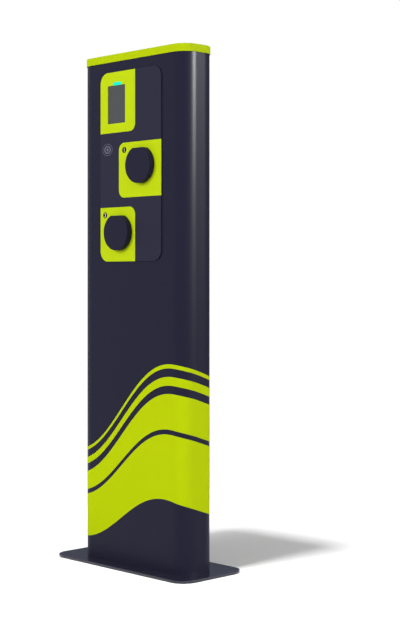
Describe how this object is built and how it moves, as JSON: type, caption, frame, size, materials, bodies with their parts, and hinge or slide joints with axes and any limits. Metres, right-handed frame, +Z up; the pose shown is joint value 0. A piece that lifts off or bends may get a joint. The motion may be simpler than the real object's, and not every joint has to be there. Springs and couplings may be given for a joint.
{
  "type": "ev charging post",
  "caption": "Free-standing vehicle charging post: slim rounded pillar with display, lidded sockets, hinged rear service door and switchgear on a base plate.",
  "frame": {"origin": "centre of the base plate's underside", "axes": "+Z up, the front with the sockets faces -Y, +X to the right of someone who stands before it"},
  "size_m": [0.612, 0.268, 1.6015],
  "materials": {
    "painted_body": "satin powder coat, dark blue-black",
    "lime_paint": "satin powder coat, lime",
    "base_paint": "semi-gloss powder coat, dark grey-blue",
    "fascia_plastic": "moulded, fine grain",
    "tile_plastic": "moulded, satin, lime",
    "lid_plastic": "moulded, satin",
    "dark_glass": "smoked clear window",
    "light_lens": "diffusing lens, lit cyan",
    "black_plastic": "moulded, black",
    "white_plastic": "moulded, light grey",
    "grey_plastic": "moulded, grey",
    "blue_plastic": "moulded, blue",
    "circuit_board": "solder mask, green",
    "zinc_steel": "zinc plated sheet and bar",
    "steel_pin": "ground bar",
    "brass": "machined",
    "contact_metal": "silver plated",
    "seal_rubber": "EPDM",
    "cable_sheath": "cable sheath",
    "filter_mat": "coarse dust filter mat"
  },
  "bodies": {
    "post": {"base_plate": "base_paint", "post_shell": "painted_body", "top_cap": "lime_paint", "antenna": "black_plastic", "uprights": "zinc_steel", "foot_brackets": "zinc_steel", "foot_bolts": "zinc_steel", "fascia_plate": "fascia_plastic", "fascia_studs": "zinc_steel", "fascia_cover": "fascia_plastic", "display_tile": "tile_plastic", "display_window": "dark_glass", "display_module": "black_plastic", "status_light": "light_lens", "card_reader": "black_plastic", "controller_box": "grey_plastic", "door_frame": "zinc_steel", "door_gasket": "seal_rubber", "door_hinge_posts": "zinc_steel", "mounting_plate": "zinc_steel", "din_rails": "zinc_steel", "main_switch": "white_plastic", "rcbo_1": "white_plastic", "rcbo_2": "white_plastic", "contactors": "grey_plastic", "energy_meters": "white_plastic", "power_supply": "grey_plastic", "terminal_blocks": "grey_plastic", "earth_bar": "brass", "cable_clamps": "zinc_steel", "socket_cables": "cable_sheath", "socket_contacts": "contact_metal", "socket_tile_1": "tile_plastic", "socket_body_1": "black_plastic", "socket_housing_1": "black_plastic", "lid_spring_1": "steel_pin", "lock_actuator_1": "black_plastic", "socket_tile_2": "tile_plastic", "socket_body_2": "black_plastic", "socket_housing_2": "black_plastic", "lid_spring_2": "steel_pin", "lock_actuator_2": "black_plastic"},
    "lid_1": {"lid_1": "lid_plastic", "lid_pin_1": "steel_pin", "lid_seal_1": "seal_rubber"},
    "lid_2": {"lid_2": "lid_plastic", "lid_pin_2": "steel_pin", "lid_seal_2": "seal_rubber"},
    "rear_door": {"rear_door": "painted_body", "vent_filters": "filter_mat", "door_hinge_leaves": "zinc_steel"},
    "door_lock_lower": {"door_lock_lower": "zinc_steel"},
    "door_lock_upper": {"door_lock_upper": "zinc_steel"},
    "main_switch_lever": {"main_switch_lever": "black_plastic"},
    "rcbo_1_lever": {"rcbo_1_lever": "blue_plastic"},
    "rcbo_2_lever": {"rcbo_2_lever": "blue_plastic"},
    "rcbo_1_test_button": {"rcbo_1_test_button": "grey_plastic"},
    "rcbo_2_test_button": {"rcbo_2_test_button": "grey_plastic"},
    "plug_lock_1": {"lock_pin_1": "steel_pin"},
    "plug_lock_2": {"lock_pin_2": "steel_pin"}
  },
  "joints": [
    {"name": "lid_1_hinge", "type": "hinge", "parent": "post", "child": "lid_1", "pos_m": [0.055, -0.0732, 1.2945], "axis": [-1, 0, 0], "range_deg": [0, 90], "stiffness_Nm_per_rad": 0.03, "springref_deg": -20.05},
    {"name": "lid_2_hinge", "type": "hinge", "parent": "post", "child": "lid_2", "pos_m": [-0.0475, -0.0732, 1.089], "axis": [-1, 0, 0], "range_deg": [0, 90], "stiffness_Nm_per_rad": 0.03, "springref_deg": -20.05},
    {"name": "rear_door_hinge", "type": "hinge", "parent": "post", "child": "rear_door", "pos_m": [0.1685, 0.0715, 0.79], "axis": [0, 0, -1], "range_deg": [0, 115]},
    {"name": "door_lock_lower_turn", "type": "hinge", "parent": "rear_door", "child": "door_lock_lower", "pos_m": [-0.145, 0.062, 0.47], "axis": [0, 1, 0], "range_deg": [0, 90]},
    {"name": "door_lock_upper_turn", "type": "hinge", "parent": "rear_door", "child": "door_lock_upper", "pos_m": [-0.145, 0.062, 1.11], "axis": [0, 1, 0], "range_deg": [0, 90]},
    {"name": "main_switch_lever_throw", "type": "hinge", "parent": "post", "child": "main_switch_lever", "pos_m": [-0.133, 0.0255, 0.398], "axis": [-1, 0, 0], "range_deg": [0, 70]},
    {"name": "rcbo_1_lever_throw", "type": "hinge", "parent": "post", "child": "rcbo_1_lever", "pos_m": [-0.028, 0.0255, 0.398], "axis": [-1, 0, 0], "range_deg": [0, 70]},
    {"name": "rcbo_2_lever_throw", "type": "hinge", "parent": "post", "child": "rcbo_2_lever", "pos_m": [0.056, 0.0255, 0.398], "axis": [-1, 0, 0], "range_deg": [0, 70]},
    {"name": "rcbo_1_test_press", "type": "slide", "parent": "post", "child": "rcbo_1_test_button", "axis": [0, -1, 0], "range_m": [0, 0.002], "stiffness_N_per_m": 400, "springref_m": -0.0005},
    {"name": "rcbo_2_test_press", "type": "slide", "parent": "post", "child": "rcbo_2_test_button", "axis": [0, -1, 0], "range_m": [0, 0.002], "stiffness_N_per_m": 400, "springref_m": -0.0005},
    {"name": "plug_lock_1_slide", "type": "slide", "parent": "post", "child": "plug_lock_1", "axis": [0, 0, -1], "range_m": [0, 0.006]},
    {"name": "plug_lock_2_slide", "type": "slide", "parent": "post", "child": "plug_lock_2", "axis": [0, 0, -1], "range_m": [0, 0.006]}
  ]
}
